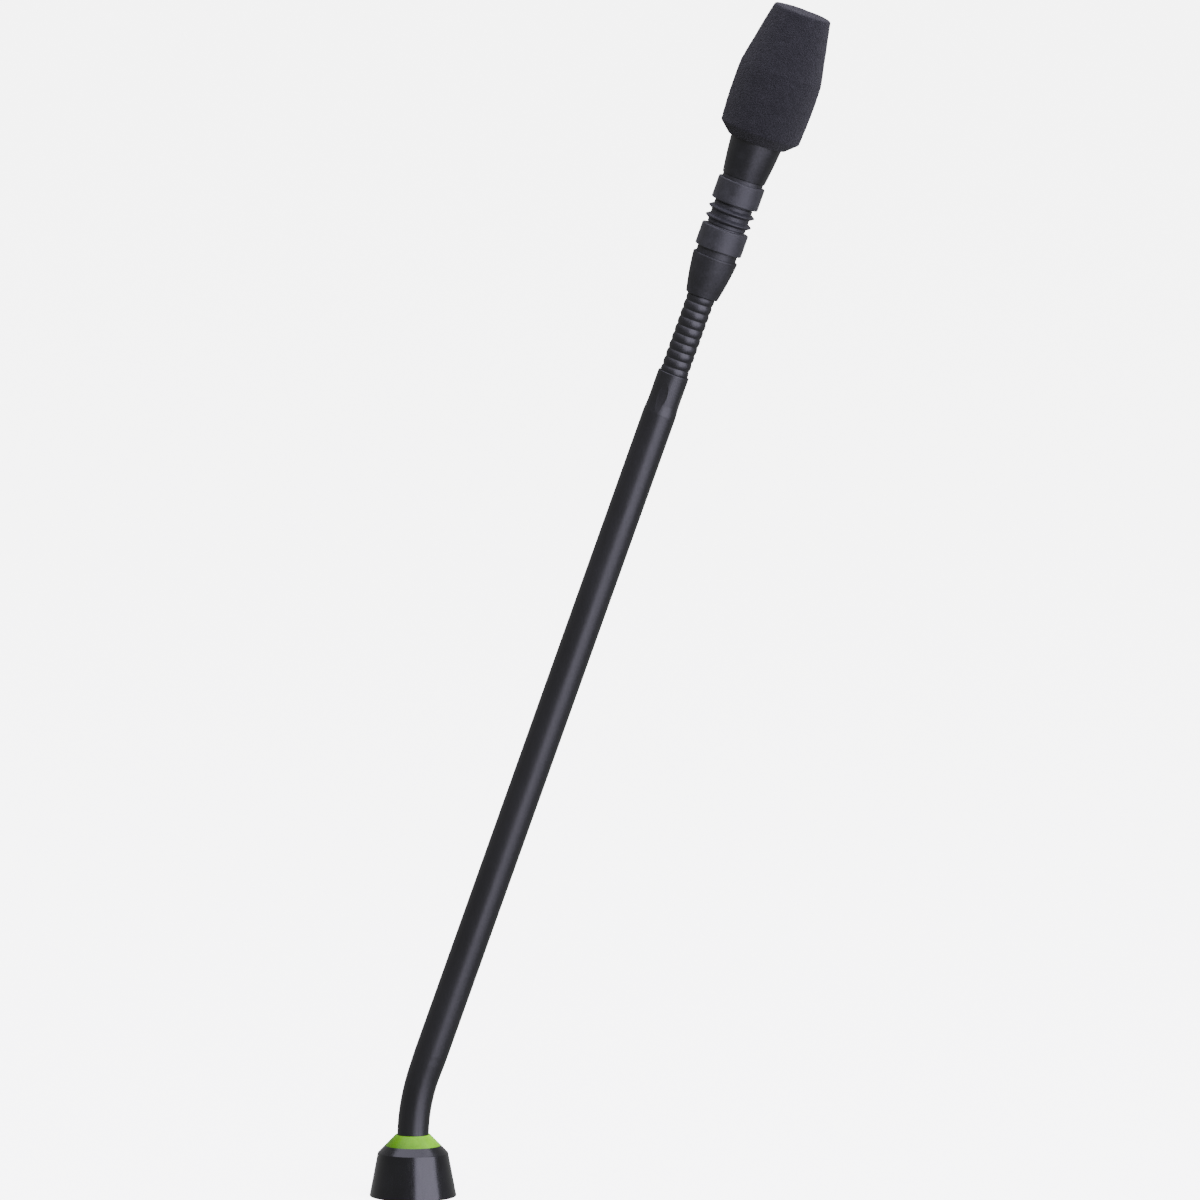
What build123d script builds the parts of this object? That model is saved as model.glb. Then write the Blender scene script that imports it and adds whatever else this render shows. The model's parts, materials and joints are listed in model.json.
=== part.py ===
"""Gooseneck podium microphone, built as its separate pieces.

The origin is the middle of the base cone's bottom rim. +Z is up and the stem leans toward +X.
Every piece above the base is placed by a station: a plane whose Z runs up that piece's own axis.
"""
from build123d import *
import math
import os

os.makedirs("parts", exist_ok=True)

# ---------------------------------------------------------------- driving dimensions, mm and degrees

LEAN = 19.5                     # lean of the stem from upright when the microphone is at rest

CONE_BOTTOM_RADIUS = 13.35
CONE_SHOULDER_RADIUS = 10.8
CONE_SHOULDER_HEIGHT = 13.4
CONE_TOP_HEIGHT = 15.7
CONE_RIM_ROUND = 0.35
CONE_SHOULDER_ROUND = 0.3
CONE_INNER_ROUND = 0.8
CONE_WALL = 1.5
RING_BOTTOM_RADIUS = 8.55       # glowing ring on top of the cone
RING_TOP_RADIUS = 5.35
RING_TOP_HEIGHT = 19.0
RING_WALL = 0.9                 # ring and cone wall outside the lamp chamber
RING_LIP_HEIGHT = 17.4          # bottom of the ring's bore around the sleeve
RING_SPIGOT_TOP = 15.65
RING_SPIGOT_BORE = 6.7
BOARD_TOP = 14.9
BOARD_THICKNESS = 0.7
LAMP_COUNT = 6
LAMP_CIRCLE = 5.75
LAMP_SIZE = (1.2, 1.6)
LAMP_HEIGHT = 0.6

PLUG_RADIUS = 6.0               # round plug hidden inside the cone
PLUG_TIP_HEIGHT = 0.4
PLUG_THREAD_RADIUS = 6.2        # thread above the barrel, so that the nut passes over the barrel
DECK_HEIGHT = 9.9               # floor plate inside the cone
DECK_THICKNESS = 1.5
FLANGE_THICKNESS = 1.0
PLUG_WALL = 0.8
PLUG_SHOULDER = 8.6             # the insert stops here
TAIL_BORE = 3.2                 # room for the solder tails of the contact pins
SCREW_COUNT = 3
SCREW_CIRCLE = 5.8
SCREW_HOLE = 0.65
SCREW_HEAD_RADIUS = 0.95
SCREW_HEAD_HEIGHT = 0.8
NUT_HEIGHT = 2.0
NUT_INNER_RADIUS = 7.5          # to the middle of a flat
KEYWAY = (1.6, 1.0, 6.0)
INSERT_BOTTOM = 3.8
CONTACT_COUNT = 6
CONTACT_CIRCLE = 2.4
CONTACT_RADIUS = 0.5
CONTACT_TIP = 1.5
CONTACT_TAIL = 10.2
FOOT_FLANGE = 0.8

LOWER_HINGES = 8                # flexible section under the smooth sleeve
LOWER_PITCH = 2.66
LOWER_TILT = 12.0               # largest tilt between two neighbouring links
LOWER_BALL = 2.3
LOWER_BORE = 1.5
LOWER_FLEX = (LOWER_BALL, LOWER_BORE, LOWER_TILT)
LOWER_LINK_RADIUS = 4.2
LOWER_HINGE_HEIGHT = 20.16
SLEEVE_RADIUS = 4.85
SLEEVE_BORE = 4.4
SLEEVE_BOTTOM = 16.8

STEM_RADIUS = 5.15              # heights from here on run up the stem from the last lower hinge
STEM_BORE = 4.35
STEM_BOTTOM = 3.0
STEM_FULL_HEIGHT = 6.0          # the tube has its full radius from here up
STEM_END_STEP = 0.05            # the sleeve and the tube's end meet this much inside the tube
STEM_INSERT_TOP = 14.0
STEM_TOP = 228.0
CRIMP_RADIUS = 4.9
CRIMP_BORE = 4.1
CRIMP_LENGTH = 10.0
CRIMP_TAPER = 3.0
DENT_DEPTH = 0.25
DENT_DROP = 7.2                 # middle of the crimp dents below the stem's top
DENT_SWEEP_RADIUS = 30.0
DENT_COUNT = 4
DENT_FIRST_ANGLE = -105.0
DENT_WIDTH = 12.0

UPPER_HINGES = 10               # ribbed flexible section under the head
UPPER_PITCH = 2.63
UPPER_TILT = 12.0
UPPER_BALL = 2.2
UPPER_BORE = 1.3
UPPER_FLEX = (UPPER_BALL, UPPER_BORE, UPPER_TILT)
UPPER_LINK_RADIUS = 4.4
UPPER_GAP = 1.9                 # from the stem's top to the first upper hinge
UPPER_SOCKET_LENGTH = 7.0
UPPER_SOCKET_RADIUS = 3.7

LIP_ANGLE = 8.0                 # a socket reaches this far past the middle of its ball
BALL_TOP_ANGLE = 20.0
SOCKET_MIDDLE_ANGLE = 15.0
BALL_CLEARANCE = 0.03
TILT_MARGIN = 1.0
RIB_ROUND = 0.35

FERRULE_LENGTH = 12.8
FERRULE_BOW = 0.2               # the taper is this much fuller than a straight cone
FERRULE_OVERLAP = 0.35          # it reaches this far below the last upper hinge
FERRULE_LAND = 0.5
FERRULE_BOTTOM_RADIUS = 5.05
FERRULE_TOP_RADIUS = 7.05
GROOVE_RADIUS = 6.35
GROOVE_HEIGHT = 2.1
COLLAR_RADIUS = 7.4
COLLAR_ROUND = 0.35
COLLAR_FLOOR = 0.6
COLLAR_HEIGHT = 7.05
COLLAR_SEAT = 5.5               # bore of a collar over the metal that it sits on
SEAT_CLEARANCE = 0.05
PRESS_CLEARANCE = 0.03
EDGE_ROUND = 0.3
WEB_HEIGHT = 0.6
WEB_THICKNESS = 1.2
WEB_STEP = 0.3                  # the webs are this much inside the bush
FIN_ROOT = 0.5                  # a fin starts this far inside the bush
BUSH_LENGTH = 6.8
BUSH_RADIUS = 6.05
FIN_RADIUS = 7.3
FIN_HEIGHTS = (1.85, 4.9)
FIN_BASE = 2.6
FIN_TIP = 0.3

CARTRIDGE_NECK_RADIUS = 6.75
CARTRIDGE_WAIST_RADIUS = 8.1
CARTRIDGE_FLARE = (7.45, 5.2)   # radius and height of a point on the curve of the neck
CARTRIDGE_RADIUS = 8.3
CARTRIDGE_BORE = 7.3
CARTRIDGE_NECK_GROOVE = 1.2
CARTRIDGE_NECK_LENGTH = 11.8
CARTRIDGE_LENGTH = 40.2
CARTRIDGE_FUNNEL_RADIUS = 5.6
CARTRIDGE_STUD_RADIUS = 4.5
CARTRIDGE_STUD_LENGTH = 4.2
VENT_COUNT = 8
VENT_SIZE = (2.6, 1.4, 5.0)
VENT_MIDDLE = 28.0
PREAMP_HEIGHT = 18.0
PREAMP_THICKNESS = 1.0
LEAD_LENGTH = 9.0
LEAD_RADIUS = 0.35
LEAD_SPACING = 2.5
GRILLE_HEIGHT = 3.6
CAPSULE_RADIUS = 6.6
CAPSULE_HEIGHT = 8.0
CAN_WALL = 0.4
CAN_MOUTH_RADIUS = 4.6
BACKPLATE_HEIGHT = 4.0
BACKPLATE_THICKNESS = 2.4
BACKPLATE_HOLES = 6
BACKPLATE_CIRCLE = 3.4
GRILLE_WALL = 0.6
GRILLE_SKIRT = 2.5
GRILLE_HOLE_RADIUS = 0.6
GRILLE_HOLE_ROW = 7

FOAM_LENGTH = 42.3
FOAM_BORE = 8.4
FOAM_BOTTOM_RADIUS = 9.0
FOAM_BEVEL_RADIUS = 12.5
FOAM_BEVEL_HEIGHT = 2.7
FOAM_WIDEST_RADIUS = 13.0
FOAM_WIDEST_HEIGHT = 14.2
FOAM_TAPER_RADIUS = 12.8
FOAM_TAPER_HEIGHT = 22.6
FOAM_TOP_ROUND = 1.0
FOAM_HEADROOM = 0.4             # free height over the grille
FOAM_TOP_RADIUS = 8.75

WIRE_RADIUS = 1.1
WIRE_BOTTOM = 10.4
CHANNEL_RADIUS = 1.6            # passage for the wire through solid pieces


# ---------------------------------------------------------------- stations and helpers

def leaned(origin, lean):
    """Plane at origin whose Z axis is upright tipped by lean degrees toward +X."""
    angle = math.radians(lean)
    across = (math.cos(angle), 0, -math.sin(angle))
    up = (math.sin(angle), 0, math.cos(angle))
    return Plane(origin=origin, x_dir=across, z_dir=up)


def half_section(station):
    """Sketch plane through a station's axis: local X is radius and local Y is height."""
    return Plane(origin=station.origin, x_dir=station.x_dir, z_dir=-station.y_dir)


def turn(station, outline, rounds=(), bows=()):
    """Turn a closed outline of (radius, height) corners about the station's axis.

    A bow (corner, point) makes the side that starts at the corner an arc through the point.
    """
    through = dict(bows)
    with BuildSketch(half_section(station)) as profile:
        with BuildLine():
            for start, end in zip(outline, outline[1:] + outline[:1]):
                if start in through:
                    ThreePointArc(start, through[start], end)
                else:
                    Line(start, end)
        make_face()
        for corner, radius in rounds:
            fillet(profile.vertices().sort_by_distance(corner)[0], radius)
    revolve(profile.sketch, axis=Axis(station.origin, station.z_dir))


def on_circle(radius, degrees, height):
    """Point of the half section of a ball at a height, at an angle above its middle."""
    angle = math.radians(degrees)
    return (radius * math.cos(angle), height + radius * math.sin(angle))


def turn_flex_piece(station, flex, outer, socket_at=None, ball_at=None, flat_at=None):
    """Turn one piece of a flexible section about the station's axis.

    Its lower end is a socket with its middle at socket_at, its upper end a ball with its middle at
    ball_at, and an end that is neither is flat at flat_at.
    """
    ball, bore, tilt = flex
    inner_start = (bore, flat_at)
    outer_start = (outer, flat_at)
    inner_end = (bore, flat_at)
    outer_end = (outer, flat_at)
    shoulders = []
    with BuildSketch(half_section(station)) as profile:
        with BuildLine():
            if socket_at is None:
                Line(inner_start, outer_start)
            else:
                socket = ball + BALL_CLEARANCE
                lip = on_circle(socket, -LIP_ANGLE, socket_at)
                inner_start = (bore, socket_at + math.sqrt(socket ** 2 - bore ** 2))
                outer_start = (outer, socket_at - outer * math.tan(math.radians(LIP_ANGLE)))
                ThreePointArc(inner_start, on_circle(socket, SOCKET_MIDDLE_ANGLE, socket_at), lip)
                Line(lip, outer_start)
                shoulders.append(outer_start)
            if ball_at is None:
                Line(inner_end, outer_end)
            else:
                crown_angle = LIP_ANGLE + tilt + TILT_MARGIN
                neck = on_circle(ball, -crown_angle, ball_at)
                top = on_circle(ball, BALL_TOP_ANGLE, ball_at)
                inner_end = (bore, top[1])
                outer_end = (outer, ball_at - outer * math.tan(math.radians(crown_angle)))
                Line(outer_end, neck)
                ThreePointArc(neck, (ball, ball_at), top)
                Line(top, inner_end)
                shoulders.append(outer_end)
            Line(outer_start, outer_end)
            Line(inner_start, inner_end)
        make_face()
        for shoulder in shoulders:
            fillet(profile.vertices().sort_by_distance(shoulder)[0], RIB_ROUND)
    revolve(profile.sketch, axis=Axis(station.origin, station.z_dir))


def finish(piece, label):
    """Label a finished piece and write it as parts/label.step."""
    piece.part.label = label
    export_step(piece.part, f"parts/{label}.step")


upright = Plane.XY

rest_turn = LEAN / (LOWER_HINGES / 2)      # every other lower hinge carries a share of the lean
lower_stations = []
hinge_point = Vector(0, 0, LOWER_HINGE_HEIGHT)
for index in range(LOWER_HINGES):
    station = leaned(hinge_point, rest_turn * (index // 2 + 1))
    lower_stations.append(station)
    hinge_point = hinge_point + station.z_dir * LOWER_PITCH

stem = lower_stations[-1]
upper_first = STEM_TOP + UPPER_GAP
upper_stations = [stem.offset(upper_first + index * UPPER_PITCH) for index in range(UPPER_HINGES)]
upper_last = upper_first + (UPPER_HINGES - 1) * UPPER_PITCH

bend_radius = LOWER_PITCH / math.tan(math.radians(rest_turn / 2))
bend_bottom = LOWER_HINGE_HEIGHT - LOWER_PITCH
bend_axis = Axis((bend_radius, 0, bend_bottom), (0, 1, 0))

ferrule_bottom = upper_last - FERRULE_OVERLAP
ferrule_top = ferrule_bottom + FERRULE_LENGTH
lower_collar_bottom = ferrule_top + GROOVE_HEIGHT
lower_collar_top = lower_collar_bottom + COLLAR_HEIGHT
bush_bottom = lower_collar_top + WEB_HEIGHT
bush_top = bush_bottom + BUSH_LENGTH
upper_collar_bottom = bush_top + WEB_HEIGHT
upper_collar_top = upper_collar_bottom + COLLAR_HEIGHT
cartridge_bottom = upper_collar_top + CARTRIDGE_NECK_GROOVE
cartridge_top = cartridge_bottom + CARTRIDGE_LENGTH
foam_bottom = cartridge_bottom + CARTRIDGE_NECK_LENGTH
foam_top = foam_bottom + FOAM_LENGTH

# ---------------------------------------------------------------- base: cone, ring and plug

deck_top = DECK_HEIGHT + DECK_THICKNESS
chamber_radius = RING_BOTTOM_RADIUS - RING_WALL
slope = (CONE_BOTTOM_RADIUS - CONE_SHOULDER_RADIUS) / CONE_SHOULDER_HEIGHT
deck_radius = CONE_BOTTOM_RADIUS - slope * DECK_HEIGHT - CONE_WALL
rim_bore = CONE_BOTTOM_RADIUS - CONE_WALL

with BuildPart() as base_cone:
    turn(
        upright,
        [
            (CONE_BOTTOM_RADIUS, 0),
            (CONE_SHOULDER_RADIUS, CONE_SHOULDER_HEIGHT),
            (RING_BOTTOM_RADIUS, CONE_TOP_HEIGHT),
            (chamber_radius, CONE_TOP_HEIGHT),
            (chamber_radius, deck_top),
            (PLUG_THREAD_RADIUS + SEAT_CLEARANCE, deck_top),
            (PLUG_THREAD_RADIUS + SEAT_CLEARANCE, DECK_HEIGHT),
            (deck_radius, DECK_HEIGHT),
            (rim_bore, 0),
        ],
        rounds=[
            ((CONE_BOTTOM_RADIUS, 0), CONE_RIM_ROUND),
            ((CONE_SHOULDER_RADIUS, CONE_SHOULDER_HEIGHT), CONE_SHOULDER_ROUND),
            ((deck_radius, DECK_HEIGHT), CONE_INNER_ROUND),
        ],
    )
finish(base_cone, "base_cone")

ring_bore = SLEEVE_RADIUS + 0.1
spigot_radius = chamber_radius - SEAT_CLEARANCE
with BuildPart() as light_ring:
    turn(
        upright,
        [
            (RING_BOTTOM_RADIUS, CONE_TOP_HEIGHT),
            (RING_TOP_RADIUS, RING_TOP_HEIGHT),
            (ring_bore, RING_TOP_HEIGHT),
            (ring_bore, RING_LIP_HEIGHT),
            (RING_SPIGOT_BORE, RING_SPIGOT_TOP),
            (RING_SPIGOT_BORE, BOARD_TOP),
            (spigot_radius, BOARD_TOP),
            (spigot_radius, CONE_TOP_HEIGHT),
        ],
        rounds=[((RING_TOP_RADIUS, RING_TOP_HEIGHT), 0.2)],
    )
finish(light_ring, "light_ring")

with BuildPart() as light_board:
    with BuildSketch(Plane.XY.offset(BOARD_TOP - BOARD_THICKNESS)):
        Circle(chamber_radius - 0.15)
        Circle(LOWER_LINK_RADIUS + 0.4, mode=Mode.SUBTRACT)
    extrude(amount=BOARD_THICKNESS)
finish(light_board, "light_board")

with BuildPart() as lamps:
    with BuildSketch(Plane.XY.offset(BOARD_TOP)):
        with PolarLocations(LAMP_CIRCLE, LAMP_COUNT):
            Rectangle(*LAMP_SIZE)
    extrude(amount=LAMP_HEIGHT)
finish(lamps, "lamps")

plug_bore = PLUG_RADIUS - PLUG_WALL
flange_top = deck_top + FLANGE_THICKNESS
flange_radius = chamber_radius - 0.25
nut_bottom = DECK_HEIGHT - NUT_HEIGHT
with BuildPart() as plug_shell:
    turn(
        upright,
        [
            (PLUG_RADIUS, PLUG_TIP_HEIGHT),
            (PLUG_RADIUS, nut_bottom),
            (PLUG_THREAD_RADIUS, nut_bottom),
            (PLUG_THREAD_RADIUS, deck_top),
            (flange_radius, deck_top),
            (flange_radius, flange_top),
            (TAIL_BORE, flange_top),
            (TAIL_BORE, PLUG_SHOULDER),
            (plug_bore, PLUG_SHOULDER),
            (plug_bore, PLUG_TIP_HEIGHT),
        ],
        rounds=[((PLUG_RADIUS, PLUG_TIP_HEIGHT), 0.25)],
    )
    with Locations((0, PLUG_RADIUS, PLUG_TIP_HEIGHT + KEYWAY[2] / 2)):
        Box(*KEYWAY, mode=Mode.SUBTRACT)
    with BuildSketch(Plane.XY.offset(flange_top)):
        with PolarLocations(SCREW_CIRCLE, SCREW_COUNT):
            Circle(SCREW_HOLE)
    extrude(amount=-FLANGE_THICKNESS, mode=Mode.SUBTRACT)
finish(plug_shell, "plug_shell")

insert_top = PLUG_SHOULDER - 0.1
with BuildPart() as plug_insert:
    with BuildSketch(Plane.XY.offset(INSERT_BOTTOM)):
        Circle(plug_bore - SEAT_CLEARANCE)
        with PolarLocations(CONTACT_CIRCLE, CONTACT_COUNT):
            Circle(CONTACT_RADIUS + 0.02, mode=Mode.SUBTRACT)
    extrude(amount=insert_top - INSERT_BOTTOM)
finish(plug_insert, "plug_insert")

with BuildPart() as contact_pins:
    with BuildSketch(Plane.XY.offset(CONTACT_TIP)):
        with PolarLocations(CONTACT_CIRCLE, CONTACT_COUNT):
            Circle(CONTACT_RADIUS)
    extrude(amount=CONTACT_TAIL - CONTACT_TIP)
    chamfer(contact_pins.faces().sort_by(Axis.Z)[:CONTACT_COUNT].edges(), 0.15)
finish(contact_pins, "contact_pins")

with BuildPart() as plug_nut:
    with BuildSketch(Plane.XY.offset(nut_bottom)):
        RegularPolygon(NUT_INNER_RADIUS, 6, major_radius=False)
        Circle(PLUG_THREAD_RADIUS + PRESS_CLEARANCE, mode=Mode.SUBTRACT)
    extrude(amount=NUT_HEIGHT)
finish(plug_nut, "plug_nut")

# ---------------------------------------------------------------- lower flexible section

with BuildPart() as lower_foot:
    turn_flex_piece(
        upright, LOWER_FLEX, LOWER_LINK_RADIUS, ball_at=LOWER_HINGE_HEIGHT, flat_at=flange_top
    )
    with BuildSketch(Plane.XY.offset(flange_top)):
        Circle(chamber_radius - 0.35)
        Circle(LOWER_BORE, mode=Mode.SUBTRACT)
        with PolarLocations(SCREW_CIRCLE, SCREW_COUNT):
            Circle(SCREW_HOLE, mode=Mode.SUBTRACT)
    extrude(amount=FOOT_FLANGE)
finish(lower_foot, "lower_foot")

with BuildPart() as foot_screws:
    with BuildSketch(Plane.XY.offset(flange_top + FOOT_FLANGE)):
        with PolarLocations(SCREW_CIRCLE, SCREW_COUNT):
            Circle(SCREW_HEAD_RADIUS)
    extrude(amount=SCREW_HEAD_HEIGHT)
    with BuildSketch(Plane.XY.offset(flange_top + FOOT_FLANGE)):
        with PolarLocations(SCREW_CIRCLE, SCREW_COUNT):
            Circle(SCREW_HOLE - 0.05)
    extrude(amount=-(FOOT_FLANGE + FLANGE_THICKNESS - 0.1))
finish(foot_screws, "foot_screws")

for index in range(LOWER_HINGES - 1):
    with BuildPart() as lower_link:
        station = lower_stations[index]
        turn_flex_piece(station, LOWER_FLEX, LOWER_LINK_RADIUS, socket_at=0, ball_at=LOWER_PITCH)
    finish(lower_link, f"lower_link_{index + 1}")

with BuildPart() as lower_sleeve:
    with BuildSketch(Plane.XY.offset(bend_bottom)):
        Circle(SLEEVE_RADIUS)
        Circle(SLEEVE_BORE, mode=Mode.SUBTRACT)
    extrude(amount=SLEEVE_BOTTOM - bend_bottom)
    with BuildSketch(Plane.XY.offset(bend_bottom)):
        Circle(SLEEVE_RADIUS)
        Circle(SLEEVE_BORE, mode=Mode.SUBTRACT)
    revolve(axis=bend_axis, revolution_arc=LEAN)
    turn(
        stem,
        [
            (SLEEVE_BORE, 0),
            (SLEEVE_RADIUS, 0),
            (STEM_RADIUS - STEM_END_STEP, STEM_BOTTOM),
            (SLEEVE_BORE, STEM_BOTTOM),
        ],
    )
finish(lower_sleeve, "lower_sleeve")

# ---------------------------------------------------------------- stem

crimp_bottom = STEM_TOP - CRIMP_LENGTH
with BuildPart(stem.offset(STEM_TOP - DENT_DROP)) as stem_tube:
    turn(
        stem,
        [
            (STEM_RADIUS - STEM_END_STEP, STEM_BOTTOM),
            (STEM_RADIUS, STEM_FULL_HEIGHT),
            (STEM_RADIUS, crimp_bottom - CRIMP_TAPER),
            (CRIMP_RADIUS, crimp_bottom),
            (CRIMP_RADIUS, STEM_TOP),
            (CRIMP_BORE, STEM_TOP),
            (CRIMP_BORE, crimp_bottom),
            (STEM_BORE, crimp_bottom - CRIMP_TAPER),
            (STEM_BORE, STEM_BOTTOM),
        ],
        rounds=[((CRIMP_RADIUS, STEM_TOP), 0.3)],
    )
    dent_reach = CRIMP_RADIUS - DENT_DEPTH + DENT_SWEEP_RADIUS
    with PolarLocations(dent_reach, DENT_COUNT, start_angle=DENT_FIRST_ANGLE):
        Cylinder(DENT_SWEEP_RADIUS, DENT_WIDTH, rotation=(90, 0, 0), mode=Mode.SUBTRACT)
finish(stem_tube, "stem_tube")

with BuildPart() as lower_stem_fitting:
    turn_flex_piece(stem, LOWER_FLEX, LOWER_LINK_RADIUS, socket_at=0, flat_at=STEM_BOTTOM)
    insert_radius = STEM_BORE - PRESS_CLEARANCE
    turn(
        stem,
        [
            (LOWER_BORE, STEM_BOTTOM),
            (insert_radius, STEM_BOTTOM),
            (insert_radius, STEM_INSERT_TOP),
            (LOWER_BORE, STEM_INSERT_TOP),
        ],
        rounds=[((insert_radius, STEM_INSERT_TOP), 0.5)],
    )
finish(lower_stem_fitting, "lower_stem_fitting")

with BuildPart() as upper_stem_fitting:
    crimped_radius = CRIMP_BORE - PRESS_CLEARANCE
    fitting_bottom = crimp_bottom + 0.5
    turn_flex_piece(stem, UPPER_FLEX, crimped_radius, ball_at=upper_first, flat_at=fitting_bottom)
finish(upper_stem_fitting, "upper_stem_fitting")

# ---------------------------------------------------------------- upper flexible section

for index in range(UPPER_HINGES - 1):
    with BuildPart() as upper_link:
        station = upper_stations[index]
        turn_flex_piece(station, UPPER_FLEX, UPPER_LINK_RADIUS, socket_at=0, ball_at=UPPER_PITCH)
    finish(upper_link, f"upper_link_{index + 1}")

with BuildPart() as upper_flex_socket:
    station = upper_stations[-1]
    socket_end = UPPER_SOCKET_LENGTH
    turn_flex_piece(station, UPPER_FLEX, UPPER_SOCKET_RADIUS, socket_at=0, flat_at=socket_end)
finish(upper_flex_socket, "upper_flex_socket")

# ---------------------------------------------------------------- ferrule, collars and isolation bush

seat_radius = COLLAR_SEAT - SEAT_CLEARANCE
socket_top = upper_last + UPPER_SOCKET_LENGTH
ferrule_middle_radius = (FERRULE_BOTTOM_RADIUS + FERRULE_TOP_RADIUS) / 2 + FERRULE_BOW
ferrule_middle = (ferrule_bottom + ferrule_top - FERRULE_LAND) / 2
with BuildPart() as taper_ferrule:
    turn(
        stem,
        [
            (UPPER_SOCKET_RADIUS + SEAT_CLEARANCE, ferrule_bottom),
            (FERRULE_BOTTOM_RADIUS, ferrule_bottom),
            (FERRULE_TOP_RADIUS, ferrule_top - FERRULE_LAND),
            (FERRULE_TOP_RADIUS, ferrule_top),
            (GROOVE_RADIUS, ferrule_top),
            (GROOVE_RADIUS, lower_collar_bottom),
            (seat_radius, lower_collar_bottom),
            (seat_radius, lower_collar_top - COLLAR_FLOOR),
            (CHANNEL_RADIUS, lower_collar_top - COLLAR_FLOOR),
            (CHANNEL_RADIUS, socket_top),
            (UPPER_SOCKET_RADIUS + SEAT_CLEARANCE, socket_top),
        ],
        rounds=[
            ((FERRULE_BOTTOM_RADIUS, ferrule_bottom), EDGE_ROUND),
            ((FERRULE_TOP_RADIUS, ferrule_top), EDGE_ROUND),
        ],
        bows=[((FERRULE_BOTTOM_RADIUS, ferrule_bottom), (ferrule_middle_radius, ferrule_middle))],
    )
finish(taper_ferrule, "taper_ferrule")

web_outer = BUSH_RADIUS - WEB_STEP
web_inner = web_outer - WEB_THICKNESS
with BuildPart() as lower_collar:
    turn(
        stem,
        [
            (COLLAR_RADIUS, lower_collar_bottom),
            (COLLAR_RADIUS, lower_collar_top),
            (web_inner, lower_collar_top),
            (web_inner, lower_collar_top - COLLAR_FLOOR),
            (COLLAR_SEAT, lower_collar_top - COLLAR_FLOOR),
            (COLLAR_SEAT, lower_collar_bottom),
        ],
        rounds=[
            ((COLLAR_RADIUS, lower_collar_bottom), COLLAR_ROUND),
            ((COLLAR_RADIUS, lower_collar_top), COLLAR_ROUND),
        ],
    )
finish(lower_collar, "lower_collar")


def turn_web(bottom):
    """Thin rubber ring that joins a collar to the bush."""
    top = bottom + WEB_HEIGHT
    turn(stem, [(web_inner, bottom), (web_outer, bottom), (web_outer, top), (web_inner, top)])


with BuildPart() as lower_web:
    turn_web(lower_collar_top)
finish(lower_web, "lower_web")

with BuildPart() as isolation_bush:
    turn(
        stem,
        [
            (web_inner, bush_bottom),
            (BUSH_RADIUS, bush_bottom),
            (BUSH_RADIUS, bush_top),
            (web_inner, bush_top),
        ],
    )
    for fin_height in FIN_HEIGHTS:
        fin_middle = bush_bottom + fin_height
        turn(
            stem,
            [
                (BUSH_RADIUS - FIN_ROOT, fin_middle - FIN_BASE / 2),
                (FIN_RADIUS, fin_middle - FIN_TIP / 2),
                (FIN_RADIUS, fin_middle + FIN_TIP / 2),
                (BUSH_RADIUS - FIN_ROOT, fin_middle + FIN_BASE / 2),
            ],
        )
finish(isolation_bush, "isolation_bush")

with BuildPart() as upper_web:
    turn_web(bush_top)
finish(upper_web, "upper_web")

with BuildPart() as upper_collar:
    turn(
        stem,
        [
            (COLLAR_RADIUS, upper_collar_bottom),
            (COLLAR_RADIUS, upper_collar_top),
            (COLLAR_SEAT, upper_collar_top),
            (COLLAR_SEAT, upper_collar_bottom + COLLAR_FLOOR),
            (web_inner, upper_collar_bottom + COLLAR_FLOOR),
            (web_inner, upper_collar_bottom),
        ],
        rounds=[
            ((COLLAR_RADIUS, upper_collar_bottom), COLLAR_ROUND),
            ((COLLAR_RADIUS, upper_collar_top), COLLAR_ROUND),
        ],
    )
finish(upper_collar, "upper_collar")

# ---------------------------------------------------------------- cartridge

stud_top = cartridge_bottom + CARTRIDGE_STUD_LENGTH
insert_waist = CARTRIDGE_NECK_RADIUS - 0.3
with BuildPart() as head_insert:
    turn(
        stem,
        [
            (CHANNEL_RADIUS, upper_collar_bottom + COLLAR_FLOOR),
            (seat_radius, upper_collar_bottom + COLLAR_FLOOR),
            (seat_radius, upper_collar_top),
            (insert_waist, upper_collar_top),
            (insert_waist, cartridge_bottom),
            (CARTRIDGE_STUD_RADIUS, cartridge_bottom),
            (CARTRIDGE_STUD_RADIUS, stud_top),
            (CHANNEL_RADIUS, stud_top),
        ],
    )
finish(head_insert, "head_insert")

funnel_bottom = stud_top + 1.5
chamber_bottom = foam_bottom + 3
flare_radius, flare_height = CARTRIDGE_FLARE
with BuildPart(stem.offset(cartridge_bottom + VENT_MIDDLE)) as cartridge_body:
    turn(
        stem,
        [
            (CARTRIDGE_NECK_RADIUS, cartridge_bottom),
            (CARTRIDGE_WAIST_RADIUS, foam_bottom),
            (CARTRIDGE_RADIUS, foam_bottom + 5),
            (CARTRIDGE_RADIUS, cartridge_top),
            (CARTRIDGE_BORE, cartridge_top),
            (CARTRIDGE_BORE, chamber_bottom),
            (CARTRIDGE_FUNNEL_RADIUS, funnel_bottom),
            (CARTRIDGE_STUD_RADIUS + PRESS_CLEARANCE, stud_top + 0.3),
            (CARTRIDGE_STUD_RADIUS + PRESS_CLEARANCE, cartridge_bottom),
        ],
        rounds=[((CARTRIDGE_NECK_RADIUS, cartridge_bottom), EDGE_ROUND)],
        bows=[
            (
                (CARTRIDGE_NECK_RADIUS, cartridge_bottom),
                (flare_radius, cartridge_bottom + flare_height),
            )
        ],
    )
    with PolarLocations(CARTRIDGE_RADIUS, VENT_COUNT):
        Box(*VENT_SIZE, mode=Mode.SUBTRACT)
finish(cartridge_body, "cartridge_body")

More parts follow.
